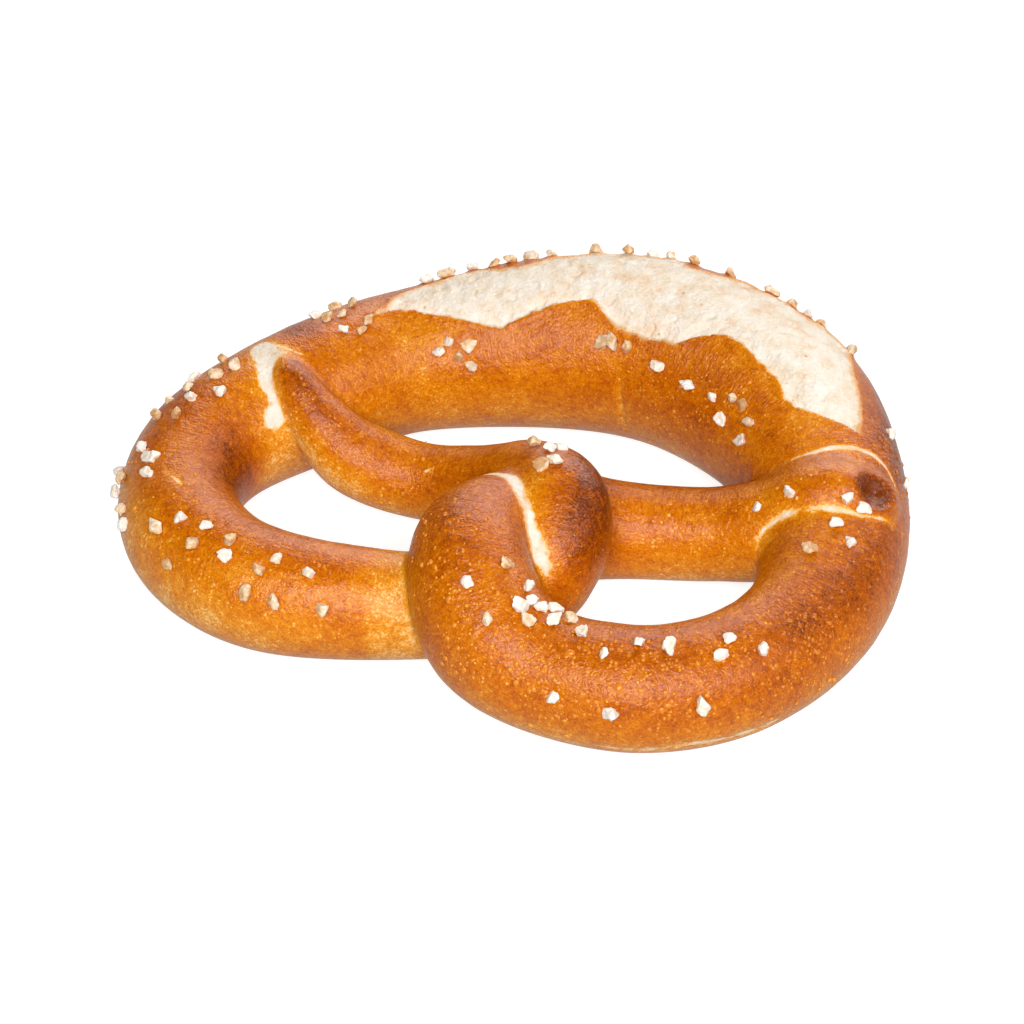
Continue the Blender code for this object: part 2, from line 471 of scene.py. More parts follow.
@dataclass(frozen=True)
class Stroke:
    """A pale mark, a golden glow or a groove that follows a line on the skin, as wide as it says."""

    name: str
    places: tuple[Place, ...]
    half_widths: tuple[float, ...]
    halo: float  # how far the golden edge reaches into the brown crust
    depth: float = 0.0  # how deep its groove is
    ragged: float = 0.0  # how far its edges wander
    strand: Place | None = None  # the stretch of rope that the mark stays on
    halo_strand: Place | None = None  # the stretch of rope that its golden edge stays on

    def trace(self, rope: "Rope") -> tuple[Array, Array]:
        """Points along the line, close together, and the half width at each."""
        points, widths = [], []
        knots = list(zip(self.places, self.half_widths))
        for (first, w0), (second, w1) in zip(knots, knots[1:]):
            same_strand = abs(first[0] - second[0]) < rope.self_gap
            start, end = rope.surface(first)[0], rope.surface(second)[0]
            for share in (0.0, 0.25, 0.5, 0.75):
                along, around = (a + share * (b - a) for a, b in zip(first, second))
                straight = start + share * (end - start)
                points.append(rope.surface((along, around))[0] if same_strand else straight)
                widths.append(w0 + share * (w1 - w0))
        points.append(rope.surface(self.places[-1])[0])
        widths.append(self.half_widths[-1])
        return np.array(points), np.array(widths)

    def inside(self, points: Array, rope: "Rope") -> Array:
        """How far inside the mark each point in space is, in millimetres, negative outside."""
        line, widths = self.trace(rope)
        best = np.full(len(points), -FAR)
        margin = widths.max() + 2.0 * self.halo + 3.0
        near = ((points > line.min(axis=0) - margin) & (points < line.max(axis=0) + margin)).all(axis=1)
        close = points[near]
        found = np.full(len(close), -FAR)
        for start, end, w0, w1 in zip(line, line[1:], widths, widths[1:]):
            step = end - start
            share = np.clip((close - start) @ step / max(step @ step, NO_LENGTH), 0.0, 1.0)
            gap = np.linalg.norm(close - start - share[:, None] * step, axis=1)
            found = np.maximum(found, w0 + (w1 - w0) * share - gap)
        if self.ragged:
            found += self.ragged * ripples(close, EDGE_WAVES)
        best[near] = found
        return best


@dataclass
class Split:
    """The torn split along the belly, between a scalloped front edge and a back edge."""

    front: tuple[Place, ...] = (
        (244, 4), (249, 4), (256, 13), (261, 21), (267, 30), (271, 36), (275, 41), (276.5, 38), (283, 32),
        (287, 29), (291, 26), (295, 26), (297, 32), (299, 38), (303, 44), (309, 47), (314, 45), (319, 43),
        (323, 33), (328, 23), (333, 22), (338, 24), (344, 21), (348, 23), (352, 18), (357, 3), (362, -20),
    )
    back: tuple[Place, ...] = (
        (244, 4), (248, 0), (251, -8), (255, -16), (261, -18), (266, -24), (272, -24), (275, -17),
        (280, -12), (284, -16), (287, -27), (290, -23), (293, -38), (307, -40), (310, -20), (316, -22),
        (319, -39), (323, -32), (326, -38), (331, -33), (334, -39), (337, -48), (341, -42), (345, -34),
        (351, -28), (357, -25), (362, -20),
    )
    step: float = 0.5
    rounding: float = 0.55
    margin: float = 12.0  # how far beyond its ends the split is felt
    chunk: int = 20000  # places measured at a time, to save memory
    tears: tuple[Wave, ...] = ((4.6, 0.42, 2.0), (2.1, 0.42, 4.0), (0.9, 0.336, 9.0))
    depth: float = 0.75
    wall: float = 0.5  # width of the torn wall below the rim
    rise: float = 5.0  # how far in the crumb has risen again
    lip: float = 0.3
    lip_reach: float = 1.4

    def edge(self, side: Side) -> tuple[Array, Array]:
        """An edge as distances along the rope and degrees round it, with its corners slightly rounded."""
        knots = np.array(getattr(self, side.value), float)
        along = np.arange(knots[0, 0], knots[-1, 0] + self.step, self.step)
        around = np.interp(along, knots[:, 0], knots[:, 1])
        reach = int(3 * self.rounding / self.step)
        offsets = np.arange(-reach, reach + 1) * self.step
        weights = np.exp(-0.5 * (offsets / self.rounding) ** 2)
        padded = np.concatenate([np.full(reach, around[0]), around, np.full(reach, around[-1])])
        return along, np.convolve(padded, weights / weights.sum(), mode="valid")

    def inside(self, along: Array, arc: Array, radius: Array) -> tuple[Array, Array]:
        """Measure places on the rope against the split.

        Args:
            along: Distances along the rope.
            arc: Distances round the rope from its crest.
            radius: The rope's radius at each place.

        Returns:
            How far inside the split each place is, in millimetres, negative outside, and how near the front
            edge, from 0 at the back edge to 1.
        """
        depth_in = np.full(len(along), -FAR)
        forward = np.zeros(len(along))
        near = (along > self.front[0][0] - self.margin) & (along < self.front[-1][0] + self.margin)
        s, a, r = along[near], arc[near], radius[near]
        gap = np.full(len(s), FAR)
        limits = {}
        for side in Side:
            edge_along, edge_around = self.edge(side)
            limits[side] = np.interp(s, edge_along, edge_around)
            for first in range(0, len(s), self.chunk):
                rows = slice(first, first + self.chunk)
                edge_arc = np.radians(edge_around)[None, :] * r[rows, None]
                apart = np.hypot(s[rows, None] - edge_along[None, :], a[rows, None] - edge_arc)
                gap[rows] = np.minimum(gap[rows], apart.min(axis=1))
        around = np.degrees(a / r)
        within = (s > self.front[0][0]) & (s < self.front[-1][0])
        within &= (around < limits[Side.FRONT]) & (around > limits[Side.BACK])
        flat = np.stack([s, a, np.zeros(len(s))], axis=1)
        depth_in[near] = np.where(within, gap, -gap) + ripples(flat, self.tears)
        width = np.maximum(limits[Side.FRONT] - limits[Side.BACK], 1.0)
        forward[near] = np.clip((around - limits[Side.BACK]) / width, 0.0, 1.0)
        return depth_in, forward

    def profile(self, inside: Array, forward: Array) -> Array:
        """Height of the rim and the crumb against the rope's skin."""
        step = self.depth * (0.12 + 0.88 * smooth_step(forward, 0.10, 0.50))
        drop = step * smooth_step(inside, -0.05, self.wall)
        refill = 1.0 - 0.85 * smooth_step(inside, self.wall, self.rise)
        outer = self.lip * np.exp(-((np.minimum(inside, 0.0) / self.lip_reach) ** 2))
        inner = self.lip * (1.0 - smooth_step(inside, 0.0, self.wall))
        return np.where(inside > 0.0, inner, outer) - drop * refill


LOBE = (200.0, 245.0)
LOWER_STRAND = (60.0, 112.0)
PALE_STROKES = (
    Stroke("beside_left_tip", ((221, -20), (221, -9), (220.5, 3), (219, 14), (217, 24), (216, 35)),
           (1.6, 3.0, 3.2, 2.7, 2.2, 1.3), 3.4, ragged=0.8, strand=LOBE),
    Stroke("blob_below_that", ((216, 35), (215, 44), (213.5, 52)),
           (1.3, 1.5, 2.3), 3.0, ragged=0.6, strand=LOBE),
    Stroke("round_left_tip", ((222, -14), (224, -4), (225.5, 8), (227, 18)), (0.9, 0.45, 0.1, -0.3), 2.0,
           ragged=0.3, strand=LOBE),
    Stroke("twist_seam_top", ((500, -30), (500.5, -22), (500.5, -13), (500.5, -2), (499, 14)),
           (0.3, 0.9, 1.2, 1.2, 1.25), 1.0, ragged=0.3),
    Stroke("twist_seam", ((499, 14), (497.5, 27), (497, 41), (90, 7), (91.5, -7), (93, -18), (94, -28),
                          (95.5, -38)),
           (1.2, 1.0, 1.1, 1.4, 1.4, 1.35, 1.0, 0.1), 5.0, ragged=0.45, halo_strand=LOWER_STRAND),
    Stroke("arm_end_above", ((367.5, 34), (367.5, 16), (367, 2), (367, -14), (367.5, -29), (369, -40),
                             (372, -50)),
           (0.0, 0.28, 0.38, 0.38, 0.36, 0.28, 0.1), 0.9, 0.15, ragged=0.15),
    Stroke("arm_end_below", ((559.5, 88), (560.5, 72), (561.5, 60), (564.5, 52), (567.5, 50), (570, 49.5),
                             (383, 24), (383.2, 9), (383.2, -7), (383, -21), (381.5, -39), (381, -50)),
           (-0.7, -0.4, 0.0, 0.3, 0.5, 0.65, 0.65, 0.6, 0.4, 0.2, 0.05, -0.3), 1.8, 0.15, ragged=0.25),
    Stroke("lobe_fissure", ((181, -9), (178.5, -4), (176, 1)), (0.02, 0.12, 0.02), 0.8, 0.15, ragged=0.2),
    Stroke("shoulder_fissure", ((44, 36), (46.5, 29)), (0.05, -0.02), 0.8, ragged=0.15),
    Stroke("front_foot", ((446, -114), (443, -114.5), (439, -114.5), (435, -111), (432, -109), (427, -112.5),
                          (421, -113.5), (416, -111)),
           (-0.4, 0.15, 0.15, -0.15, 0.2, 0.2, 0.1, -0.4), 1.9, 0.15, ragged=0.7),
)

CREASES = (
    Stroke("belly_crease", ((303.5, 66), (304.5, 77), (305, 90), (305.5, 102), (307, 118)),
           (-0.7, -0.15, -0.05, -0.15, -0.6), 2.0, 0.7),
    Stroke("lobe_under_twist", ((124.5, 30), (124.5, 0), (124, -32), (123, -62), (122, -95), (121, -125)),
           (-0.8, -0.7, -0.6, -0.6, -0.6, -0.8), 5.5),
    Stroke("loop_beside_arm", ((382, 34), (384, 52), (388, 70)), (-0.4, -0.4, -0.6), 4.0),
    Stroke("arm_end_rim", ((372, -50), (377, -53), (381, -50)), (-0.1, -0.2, -0.3), 1.4, 0.1),
    Stroke("lobe_below_tip", ((216, 56), (217, 74), (219, 92)), (-0.3, -0.5, -0.8), 6.0),
)


@dataclass(frozen=True)
class Patch:
    """A soft round area of the crust that differs from the rest, by an amount at its middle."""

    place: Place
    reach_along: float
    reach_around: float
    amount: float

    def share(self, along: Array, around: Array) -> Array:
        """The patch's strength, from 0 outside it to 1 at its middle."""
        turn = (around - self.place[1] + 180.0) % 360.0 - 180.0
        return bump(np.hypot((along - self.place[0]) / self.reach_along, turn / self.reach_around), 1.0)


def total_share(patches: tuple[Patch, ...], along: Array, around: Array) -> Array:
    """Add up what the patches change at each place."""
    return sum(patch.amount * patch.share(along, around) for patch in patches)


# Darker patches of the crust: browning, and on the left lobe's inner side painted shade as well.
BROWNED_AND_SHADED = (
    Patch((2, 5), 24, 75, 0.32),
    Patch((84, -50), 14, 80, 0.48),
    # painted shade: the left lobe's inner side, facing the hole, is darker than its browning alone.
    Patch((189, 64), 27, 66, 0.38),
    Patch((200, -25), 20, 45, 0.10),
    Patch((232, -20), 7, 35, 0.30),
    Patch((361, -52), 20, 46, 0.42),
    Patch((348, -72), 20, 36, 0.26),
    Patch((388, -45), 20, 45, 0.24),
    Patch((405, -30), 20, 50, 0.20),
    Patch((477, 62), 20, 55, 0.20),
    Patch((488, -5), 20, 60, 0.12),
    Patch((524, 5), 10, 50, 0.16),
    Patch((428, -20), 50, 90, 0.13),
    # darker low on the belly's inner side
    Patch((290, 105), 60, 40, 0.03),
    Patch((335, 100), 25, 40, 0.04),
)
GOLDEN = (
    Patch((20, 90), 18, 60, -0.34),
    Patch((48, 90), 22, 60, -0.06),
    Patch((35, -28), 16, 22, -0.18),
    Patch((126, -40), 10, 160, -0.34),
    Patch((142, -38), 18, 26, -0.20),
    Patch((162, -80), 34, 50, -0.24),
    Patch((172, -44), 22, 26, -0.12),
    Patch((188, -72), 20, 44, -0.22),
    Patch((213, 78), 15, 60, -0.34),
    Patch((216, 5), 9, 60, -0.12),
    Patch((250, 60), 26, 70, -0.22),
    Patch((274, 94), 24, 40, -0.12),
    Patch((378, 35), 12, 50, -0.16),
    Patch((390, 75), 14, 40, -0.10),
    Patch((425, 28), 40, 18, -0.12),
    Patch((346, 12), 22, 32, -0.30),
    Patch((548, 70), 26, 70, -0.16),
    Patch((566, 20), 9, 50, -0.10),
)
BUBBLY = (
    Patch((430, -30), 60, 110, 1.0),
    Patch((395, -30), 30, 80, 0.7),
    Patch((470, -40), 30, 90, 0.6),
    Patch((366, -55), 22, 60, 0.8),
    Patch((96, 0), 26, 110, 0.6),
    Patch((8, 15), 18, 70, 0.6),
    Patch((330, 70), 40, 60, 0.6),
    Patch((575, 20), 14, 90, 0.7),
    Patch((540, 40), 30, 70, 0.4),
    Patch((20, 20), 34, 110, 0.5),
    Patch((150, -30), 40, 90, 0.4),
    Patch((195, 20), 30, 80, 0.3),
)
WRINKLED = (
    Patch((486, -20), 26, 60, 1.0),
    Patch((75, -15), 24, 60, 0.9),
    Patch((175, 20), 45, 60, 0.7),
    Patch((350, -10), 34, 70, 0.6),
    Patch((395, 10), 24, 60, 0.9),
    Patch((540, 0), 34, 50, 0.7),
    Patch((330, 45), 40, 26, 0.8),
    Patch((258, 40), 26, 40, 0.5),
    Patch((40, 10), 40, 60, 0.6),
    Patch((440, 10), 40, 40, 0.4),
)


@dataclass
class Marks:
    """Where each point of the skin is on the rope, and how far inside the split and the pale seams."""

    along: Array
    around: Array
    radius: Array
    arc: Array
    other_along: Array  # the same on the strand that is next nearest
    other_around: Array
    lead: Array  # how much nearer its own strand is than the next
    split: Array
    forward: Array
    seam: Array
    halo: Array
    groove: Array


@dataclass
class Dough:
    """The baked dough: one closed mesh with its split, seams, creases and dents."""

    rope: Rope
    dents: tuple[tuple[Place, float], ...]
    split: Split = field(default_factory=Split)
    ring_spacing: float = 3.0
    sides_resolution: int = 14
    voxel: float = 0.8
    weld: float = 2.0
    foot_rounding: float = 0.9
    unevenness: tuple[Wave, ...] = (
        (26.0, 0.35, 1.0), (10.0, 0.16, 5.0), (4.0, 0.07, 8.0), (2.2, 0.03, 13.0)
    )
    strand_blend: float = 1.2
    end_angles: tuple[float, ...] = (0.35, 0.7, 1.05, 1.35)  # radians at which the rope's ends are rounded
    crumb_lumps: tuple[Wave, ...] = ((7.5, 0.32, 2.0), (3.2, 0.20, 6.0), (0.9, 0.09, 31.0))
    crumb_fibres: tuple[Wave, ...] = ((1.6, 0.20, 11.0),)
    fibre_stretch: tuple[float, float, float] = (1.0, 0.45, 1.0)
    pit_depth: float = 0.6
    dimple_place: Place = (581.5, 17.0)
    dimple_shift: float = 1.5
    dimple_reach: float = 4.9
    dimple_depth: float = 2.3
    dimple_ridges: tuple[tuple[float, float, float], ...] = (  # height, distance from the middle and width
        (0.35, 4.9, 0.7), (0.25, 6.8, 0.5), (0.22, 3.038, 0.35)
    )
    dimple_scorch: float = 1.05
    salt_dent_reach: float = 2.4
    base_bake: float = 0.49
    pale_below: float = 0.22  # how much less the crust is baked low on its sides
    bake_waves: tuple[Wave, ...] = ((18.0, 0.07, 40.0), (7.0, 0.06, 44.0))
    least_bubbly: float = 0.25
    least_wrinkled: float = 0.2

    def build(self) -> Piece:
        """Model the dough.

        Returns:
            The finished mesh object, without a material.
        """
        piece = self.join_strands(self.lay_rope())
        log.info("marks on the dough: %s", ", ".join(stroke.name for stroke in PALE_STROKES + CREASES))
        self.refine(piece)
        self.sculpt(piece)
        activate(piece)
        bpy.ops.object.shade_smooth()
        return piece

    def lay_rope(self) -> Piece:
        """A round tube along the rope with rounded ends, made from a path."""
        deselect()
        bpy.ops.curve.primitive_nurbs_path_add(location=(0.0, 0.0, 0.0))
        path = bpy.context.object
        path.name = "dough"
        curve = path.data
        curve.splines.clear()
        curve.bevel_depth = MM
        curve.bevel_resolution = self.sides_resolution
        curve.use_fill_caps = True
        rings = self.tube_rings()
        spline = curve.splines.new("POLY")
        spline.points.add(len(rings) - 1)
        for point, (centre, radius) in zip(spline.points, rings):
            point.co = (*(centre * MM), 1.0)
            point.radius = radius
        bpy.ops.object.convert(target="MESH")
        bpy.ops.object.mode_set(mode="EDIT")
        weld_all(0.01)
        bpy.ops.object.mode_set(mode="OBJECT")
        return path

    def tube_rings(self) -> list[tuple[Array, float]]:
        """Centres and radii of the tube's rings, with a half ball at each end."""
        count = round(self.rope.length / self.ring_spacing)
        centres, radii, directions = self.rope.at(np.linspace(0.0, self.rope.length, count + 1))
        rings = list(zip(centres, radii))
        start, end = [], []
        for angle in self.end_angles:
            ahead, width = math.sin(angle), math.cos(angle)
            start.insert(0, (centres[0] - directions[0] * radii[0] * ahead, radii[0] * width))
            end.append((centres[-1] + directions[-1] * radii[-1] * ahead, radii[-1] * width))
        return start + rings + end

    def join_strands(self, piece: Piece) -> Piece:
        """Remesh the tube so that its crossing strands are one skin, and cut its foot flat."""
        apply_modifier(piece, "REMESH", mode="VOXEL", voxel_size=self.voxel * MM, adaptivity=0.0)
        bpy.ops.object.mode_set(mode="EDIT")
        bpy.ops.mesh.select_all(action="SELECT")
        bpy.ops.mesh.bisect(
            plane_co=(0.0, 0.0, 0.0),
            plane_no=(0.0, 0.0, 1.0),
            use_fill=True,
            clear_inner=True,
            threshold=CUT_THRESHOLD,
        )
        weld_all(0.1 * self.voxel)
        bpy.ops.object.mode_set(mode="OBJECT")
        return piece

    def skin(self, points: Array) -> tuple[Array, Array]:
        """Distance from the blended skin of all strands, and its outward direction."""
        along, gap = self.rope.nearest(points)
        other_along, other_gap = self.rope.nearest(points, barred=along)
        own = self.rope.outward(points, along)
        other = self.rope.outward(points, other_along)
        share = np.clip(0.5 + 0.5 * (other_gap - gap) / self.weld, 0.0, 1.0)
        value = other_gap * (1 - share) + gap * share - self.weld * share * (1 - share)
        direction = own * share[:, None] + other * (1 - share)[:, None]
        return value, direction

    def settle(self, points: Array) -> tuple[Array, Array]:
        """Move points onto the blended skin, with a rounded foot on the tray.

        Args:
            points: Places near the skin.

        Returns:
            The moved places and the outward directions there.
        """
        points = points.copy()
        foot = points[:, 2] < 0.02
        for _ in range(4):
            value, direction = self.skin(points)
            share = np.clip(0.5 + 0.5 * (value + points[:, 2]) / self.foot_rounding, 0.0, 1.0)
            height = value * share - points[:, 2] * (1 - share) + self.foot_rounding * share * (1 - share)
            slope = direction * share[:, None]
            slope[:, 2] -= 1 - share
            height[foot] = value[foot] + self.foot_rounding
            slope[foot] = direction[foot] * (1.0, 1.0, 0.0)
            steep = np.maximum((slope**2).sum(axis=1), 0.2)
            points -= slope * (height / steep)[:, None]
        points[foot, 2] = 0.0
        slope[foot] = (0.0, 0.0, -1.0)
        return points, slope / np.maximum(np.linalg.norm(slope, axis=1, keepdims=True), 1e-6)

    def lead_of(self, strand: Place, marks: Marks) -> Array:
        """How much nearer each point is to one stretch of rope than to any other, negative off it."""
        on_it = (marks.along > strand[0]) & (marks.along < strand[1])
        beside_it = (marks.other_along > strand[0]) & (marks.other_along < strand[1])
        return np.where(on_it, marks.lead, np.where(beside_it, -marks.lead, -FAR))

    def marks(self, points: Array) -> Marks:
        """Where each point is on the rope, and how far inside the split and the pale seams."""
        along, gap = self.rope.nearest(points)
        other_along, other_gap = self.rope.nearest(points, barred=along)
        _, radius, _ = self.rope.at(along)
        around = self.rope.angles(points, along)
        arc = np.radians(around) * radius
        split, forward = self.split.inside(along, arc, radius)
        nothing = np.zeros(len(points))
        marks = Marks(
            along, around, radius, arc, other_along, self.rope.angles(points, other_along), other_gap - gap,
            split, forward, nothing - FAR, nothing.copy(), nothing.copy(),
        )
        for stroke in PALE_STROKES + CREASES:
            inside = stroke.inside(points, self.rope)
            glow = np.exp(-np.maximum(-inside, 0.0) / (0.4 * stroke.halo))
            if stroke.halo_strand:
                glow *= smooth_step(self.lead_of(stroke.halo_strand, marks), -0.8, 0.4)
            if stroke.strand:
                inside = np.minimum(inside, 0.8 * self.lead_of(stroke.strand, marks) - 0.05)
            if stroke in PALE_STROKES:
                marks.seam = np.maximum(marks.seam, inside)
            marks.halo = np.maximum(marks.halo, glow)
            marks.groove += stroke.depth * smooth_step(inside, -1.4, 0.6)
        return marks

    def refine(self, piece: Piece) -> None:
        """Settle the mesh, then halve its faces in and around the split, the pale seams and the dimple."""
        points, _ = self.settle(read_points(piece.data))
        write_points(piece.data, points)
        marks = self.marks(points)
        dimple, _ = self.crater()
        fine = (marks.split > -1.6) | (marks.seam > -0.9) | (marks.groove > 0.12)
        fine |= np.linalg.norm(points - dimple, axis=1) < self.dimple_reach + 1.0
        fine &= points[:, 2] > 2.0
        activate(piece)
        bpy.ops.object.mode_set(mode="EDIT")
        bpy.ops.mesh.select_mode(type="FACE")
        bpy.ops.mesh.select_all(action="DESELECT")
        bpy.ops.object.mode_set(mode="OBJECT")
        for polygon in piece.data.polygons:
            polygon.select = bool(all(fine[v] for v in polygon.vertices))
        bpy.ops.object.mode_set(mode="EDIT")
        bpy.ops.mesh.subdivide(number_cuts=1, smoothness=0.0)
        bpy.ops.object.mode_set(mode="OBJECT")

    def sculpt(self, piece: Piece) -> None:
        """Shape the settled skin: unevenness, split, grooves and dents, and what the crust material reads."""
        points, normals = self.settle(read_points(piece.data))
        marks = self.marks(points)
        lift = ripples(points, self.unevenness) * smooth_step(points[:, 2], 0.0, 6.0)
        lift += self.split.profile(marks.split, marks.forward) + self.crumb_relief(marks) - marks.groove
        lift += self.dimple(points)
        for place, depth in self.dents:
            seat, _, _ = self.rope.surface(place)
            lift -= depth * bump(np.linalg.norm(points - seat, axis=1), self.salt_dent_reach)
        lift[points[:, 2] < 0.02] = 0.0
        points += normals * lift[:, None]
        points[:, 2] = np.maximum(points[:, 2], 0.0)
        write_points(piece.data, points)
        across = np.radians(marks.around)
        rope = np.stack([marks.along, marks.radius * np.cos(across), marks.radius * np.sin(across)], axis=1)
        open_skin = smooth_step(marks.lead, 0.4, 2.0)
        write_attribute(piece.data, "rope", rope)
        write_attribute(piece.data, "pale", np.maximum(marks.split, np.maximum(marks.seam, -9.0)))
        # this attribute carries the crust's browning, with painted shade on the left lobe's inner side
        write_attribute(piece.data, "bake_and_shade", self.browning(points, marks))
        for name, patches, least in (
            ("bubbly", BUBBLY, self.least_bubbly),
            ("wrinkled", WRINKLED, self.least_wrinkled),
        ):
            strength = least + total_share(patches, marks.along, marks.around)
            write_attribute(piece.data, name, np.clip(strength, 0.0, 1.0) * open_skin)

    def crumb_relief(self, marks: Marks) -> Array:
        """Lumps, torn fibres and small pits of the crumb inside the split."""
        relief = np.zeros(len(marks.split))
        torn = marks.split > 0.0
        flat = np.stack([marks.along[torn], marks.arc[torn], np.zeros(int(torn.sum()))], axis=1)
        lumps = ripples(flat, self.crumb_lumps)
        fibres = ripples(flat * self.fibre_stretch, self.crumb_fibres)
        pits = self.pit_depth * smooth_step(ripple(flat, 2.4, 21.0), 0.36, 0.70)
        relief[torn] = (lumps + fibres - pits) * smooth_step(marks.split[torn], 0.2, 1.4)
        return relief

    def crater(self) -> tuple[Array, Array]:
        """Middle of the crater in the blunt right end, and the rope's direction there."""
        point, _, direction = self.rope.surface(self.dimple_place)
        return point + self.dimple_shift * direction, direction

    def dimple(self, points: Array) -> Array:
        """The crater in the blunt right end, with low ridges on its outer side."""
        centre, direction = self.crater()
        away = points - centre
        apart = np.linalg.norm(away, axis=1)
        outer = smooth_step(away @ direction / np.maximum(apart, 0.1), -0.3, 0.6)
        ridges = sum(
            height * np.exp(-(((apart - distance) / width) ** 2))
            for height, distance, width in self.dimple_ridges
        )
        return ridges * outer - self.dimple_depth * bump(apart, self.dimple_reach)

    def browning(self, points: Array, marks: Marks) -> Array:
        """How dark each place of the crust is, from 0 for pale gold to 1 for dark chestnut: its browning, and
        painted shade on the left lobe's inner side.
        """
        own = self.baked(marks.along, marks.around)
        other = self.baked(marks.other_along, marks.other_around)
        share = np.clip(0.5 + 0.5 * marks.lead / self.strand_blend, 0.0, 1.0)
        bake_and_shade = own * share + other * (1.0 - share) + ripples(points, self.bake_waves)
        bake_and_shade = bake_and_shade * (1.0 - 0.7 * marks.halo)
        crater, _ = self.crater()
        scorched = bump(np.linalg.norm(points - crater, axis=1), self.dimple_reach + 1.2)
        bake_and_shade += self.dimple_scorch * scorched
        return np.clip(bake_and_shade, 0.02, 1.0)

    def baked(self, along: Array, around: Array) -> Array:
        """The browning that depends on the place on the rope alone: lighter below, and patchy, with painted
        shade on the left lobe's inner side.
        """
        bake_and_shade = self.base_bake - self.pale_below * smooth_step(np.abs(around), 70.0, 120.0)
        return bake_and_shade + total_share(BROWNED_AND_SHADED + GOLDEN, along, around)


# ------------------------------------------------------------------------
# Salt


@dataclass(frozen=True)
class SaltPatch:
    """A stretch of crust that salt fell on: its middle, how far it reaches and how many grains it holds."""

    name: str
    place: Place
    reach_along: float
    reach_around: float
    count: int
    size: float = 2.4
    browned: float = 0.35  # share of the grains that the oven turned tan
    sunk: float = 0.16  # how deep they sit, as a share of their size
    dent: float = 0.35  # how far they press the dough in, negative where the dough rose round them
    tilt: float = 0.0  # degrees that the patch turns round the rope for each millimetre along it

    def places(self, rng: np.random.Generator, apart: float, degree: float) -> list[Place]:
        """Scatter the patch's grains, none nearer to another than they may lie.

        Args:
            rng: Source of the places.
            apart: Least distance between two grains, in millimetres.
            degree: Rough length of one degree round the rope, in millimetres.

        Returns:
            Each grain's place on the rope.
        """
        kept: list[Place] = []
        for _ in range(60 * self.count):
            ahead, aside = rng.uniform(-1.0, 1.0, 2)
            along = self.place[0] + ahead * self.reach_along
            around = self.place[1] + self.tilt * ahead * self.reach_along + aside * self.reach_around
            if all(math.hypot(along - was[0], degree * (around - was[1])) > apart for was in kept):
                kept.append((along, around))
            if len(kept) == self.count:
                break
        return kept


SALT = (
    SaltPatch("left_lobe_back", (204, -20), 11, 26, 10, 2.5, 0.7),
    SaltPatch("left_lobe_outer", (184, -48), 7, 28, 8, 2.5, 0.35),
    SaltPatch("left_lobe_front", (154, -36), 17, 30, 13, 2.4, 0.45),
    SaltPatch("belly_left", (239, -10), 4, 28, 8, 2.2, 0.6),
    SaltPatch("belly_back_edge", (300, -38), 42, 1.5, 18, 2.5, 0.75, 0.0, -0.5, tilt=-0.16),
    SaltPatch("belly_front_left", (262, 54), 4, 12, 5, 2.4, 0.4),
    SaltPatch("belly_cluster", (301, 54), 4, 7, 5, 2.5, 0.8),
    SaltPatch("belly_front_right", (336, 58), 20, 10, 8, 2.4, 0.4),
    SaltPatch("twist_back", (76, 0), 6, 28, 5, 2.5, 0.5),
    SaltPatch("twist_front", (466, -6), 15, 32, 12, 2.4, 0.25),
    SaltPatch("front_arm", (436, -30), 20, 40, 9, 2.4, 0.1),
    SaltPatch("right_arm_end", (571, 34), 7, 16, 3, 2.5, 0.4),
    SaltPatch("right_arm_side", (386, -4), 8, 20, 5, 2.5, 0.4),
    SaltPatch("large_grain", (359, -55), 1, 2, 1, 3.0, 0.0),
    SaltPatch("behind", (296, -74), 74, 10, 12, 2.4, 0.4),
)


